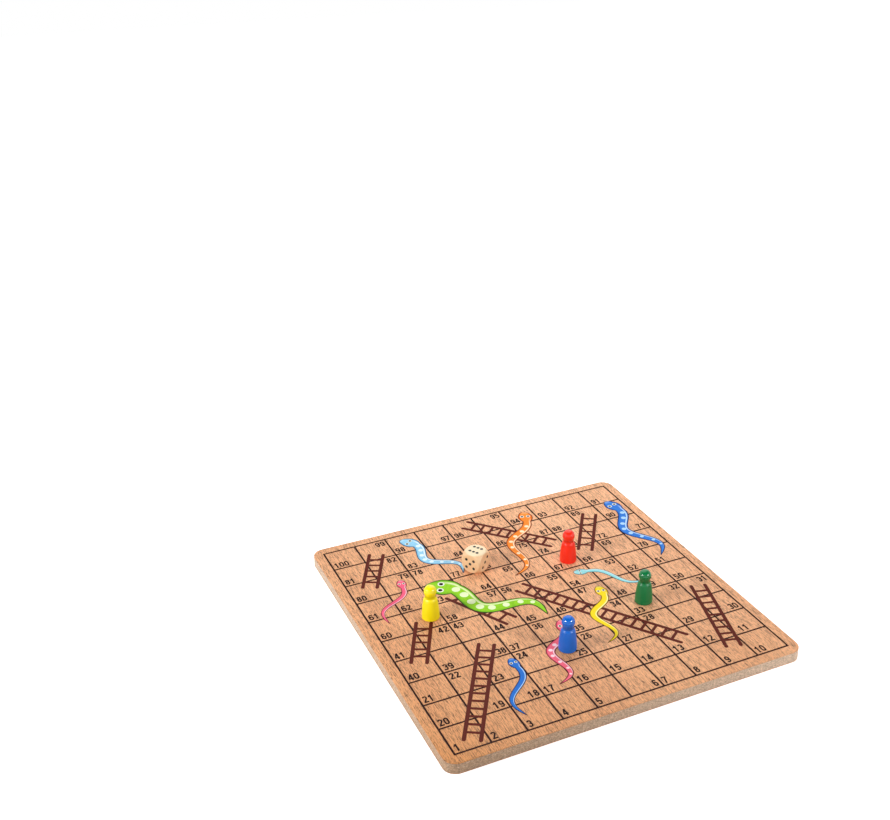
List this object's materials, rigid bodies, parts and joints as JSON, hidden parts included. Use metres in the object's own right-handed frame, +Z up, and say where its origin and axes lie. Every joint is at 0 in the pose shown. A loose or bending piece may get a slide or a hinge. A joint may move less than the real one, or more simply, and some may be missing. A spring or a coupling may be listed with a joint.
{
  "type": "snakes and ladders board",
  "caption": "Square wooden board printed with a numbered grid, ladders and snakes, set out with plastic pawns and a wooden die for the race game.",
  "frame": {"origin": "middle of the board's underside", "axes": "+X to the right along row 1, +Y away from the player at row 1, +Z up out of the playing face"},
  "size_m": [0.25, 0.25, 0.0333],
  "materials": {
    "fibreboard": "sanded and clear sealed",
    "beech_veneer": "satin clear lacquer",
    "brown_ink": "satin printed ink",
    "maroon_ink": "satin printed ink",
    "green_ink": "satin printed ink",
    "sky_ink": "satin printed ink",
    "royal_ink": "satin printed ink",
    "orange_ink": "satin printed ink",
    "rose_ink": "satin printed ink",
    "yellow_ink": "satin printed ink",
    "pink_ink": "satin printed ink",
    "aqua_ink": "satin printed ink",
    "navy_ink": "satin printed ink",
    "white_ink": "satin printed ink",
    "black_ink": "satin printed ink",
    "yellow_plastic": "glossy moulded",
    "red_plastic": "glossy moulded",
    "green_plastic": "glossy moulded",
    "blue_plastic": "glossy moulded",
    "pale_wood": "tumbled and waxed",
    "pip_paint": "black enamel"
  },
  "bodies": {
    "board": {"board_core": "fibreboard", "top_veneer": "beech_veneer", "bottom_veneer": "beech_veneer", "grid_print": "brown_ink", "ladder_1_to_38": "maroon_ink", "ladder_9_to_31": "maroon_ink", "ladder_13_to_55": "maroon_ink", "ladder_41_to_59": "maroon_ink", "ladder_44_to_63": "maroon_ink", "ladder_72_to_89": "maroon_ink", "ladder_74_to_95": "maroon_ink", "ladder_80_to_99": "maroon_ink", "snake_green": "green_ink", "snake_sky": "sky_ink", "snake_royal": "royal_ink", "snake_orange": "orange_ink", "snake_rose": "rose_ink", "snake_yellow": "yellow_ink", "snake_pink": "pink_ink", "snake_aqua": "aqua_ink", "snake_navy": "navy_ink", "snake_spots": "white_ink", "snake_eyes": "black_ink"},
    "yellow_pawn": {"pawn_yellow": "yellow_plastic"},
    "red_pawn": {"pawn_red": "red_plastic"},
    "green_pawn": {"pawn_green": "green_plastic"},
    "blue_pawn": {"pawn_blue": "blue_plastic"},
    "wooden_die": {"die": "pale_wood", "die_pips": "pip_paint"}
  },
  "joints": [
    {"name": "yellow_pawn_lift", "type": "slide", "parent": "board", "child": "yellow_pawn", "axis": [0, 0, 1], "range_m": [0, 0.06]},
    {"name": "red_pawn_lift", "type": "slide", "parent": "board", "child": "red_pawn", "axis": [0, 0, 1], "range_m": [0, 0.06]},
    {"name": "green_pawn_lift", "type": "slide", "parent": "board", "child": "green_pawn", "axis": [0, 0, 1], "range_m": [0, 0.06]},
    {"name": "blue_pawn_lift", "type": "slide", "parent": "board", "child": "blue_pawn", "axis": [0, 0, 1], "range_m": [0, 0.06]},
    {"name": "die_lift", "type": "slide", "parent": "board", "child": "wooden_die", "axis": [0, 0, 1], "range_m": [0, 0.06]}
  ]
}
